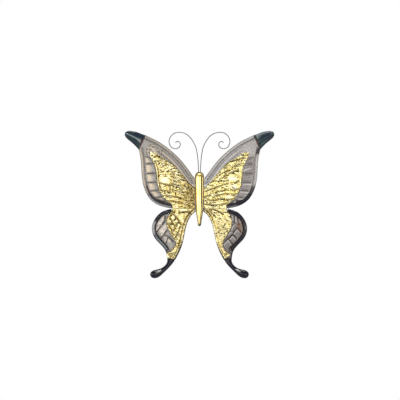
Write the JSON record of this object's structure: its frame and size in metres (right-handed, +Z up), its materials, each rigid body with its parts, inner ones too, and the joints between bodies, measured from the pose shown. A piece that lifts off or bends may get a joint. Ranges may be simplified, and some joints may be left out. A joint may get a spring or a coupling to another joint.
{
  "type": "clip-on butterfly ornament",
  "caption": "Butterfly ornament with gilded smoke-clear wings, dark tips and tails, a gold body and wire antennae, on a sprung clip behind the body.",
  "frame": {"origin": "middle of the round throat in which the clip grips a stem", "axes": "+Z up along the body to the head, +X to the viewer's right along the throat, +Y to the back of the ornament"},
  "size_m": [0.1492, 0.0313, 0.1471],
  "materials": {
    "gold_body": "polished gold plate",
    "gilding": "crinkled metallised gold",
    "smoke_pane": "clear smoke-tinted gloss",
    "teal_tip": "dark teal gloss",
    "dark_edging": "near-black gloss",
    "clip_steel": "satin plated",
    "spring_steel": "drawn wire"
  },
  "bodies": {
    "ornament": {"body_front": "gold_body", "body_back": "gold_body", "clip_base": "clip_steel", "clip_pin": "clip_steel", "clip_screws": "clip_steel", "clip_spring": "spring_steel", "left_antenna": "spring_steel", "left_forewing_pane": "smoke_pane", "left_hindwing_pane": "smoke_pane", "left_forewing_gilding": "gilding", "left_hindwing_gilding": "gilding", "left_forewing_tip": "teal_tip", "left_forewing_edging": "dark_edging", "left_hindwing_rim": "dark_edging", "left_hindwing_tail": "dark_edging", "right_antenna": "spring_steel", "right_forewing_pane": "smoke_pane", "right_hindwing_pane": "smoke_pane", "right_forewing_gilding": "gilding", "right_hindwing_gilding": "gilding", "right_forewing_tip": "teal_tip", "right_forewing_edging": "dark_edging", "right_hindwing_rim": "dark_edging", "right_hindwing_tail": "dark_edging"},
    "lever": {"clip_lever": "clip_steel"}
  },
  "joints": [
    {"name": "clip_opening", "type": "hinge", "parent": "ornament", "child": "lever", "pos_m": [0, 0.0027, -0.0115], "axis": [-1, 0, 0], "range_deg": [0, 24], "stiffness_Nm_per_rad": 0.1, "springref_deg": -28.65, "deforming": ["clip_spring"]}
  ]
}
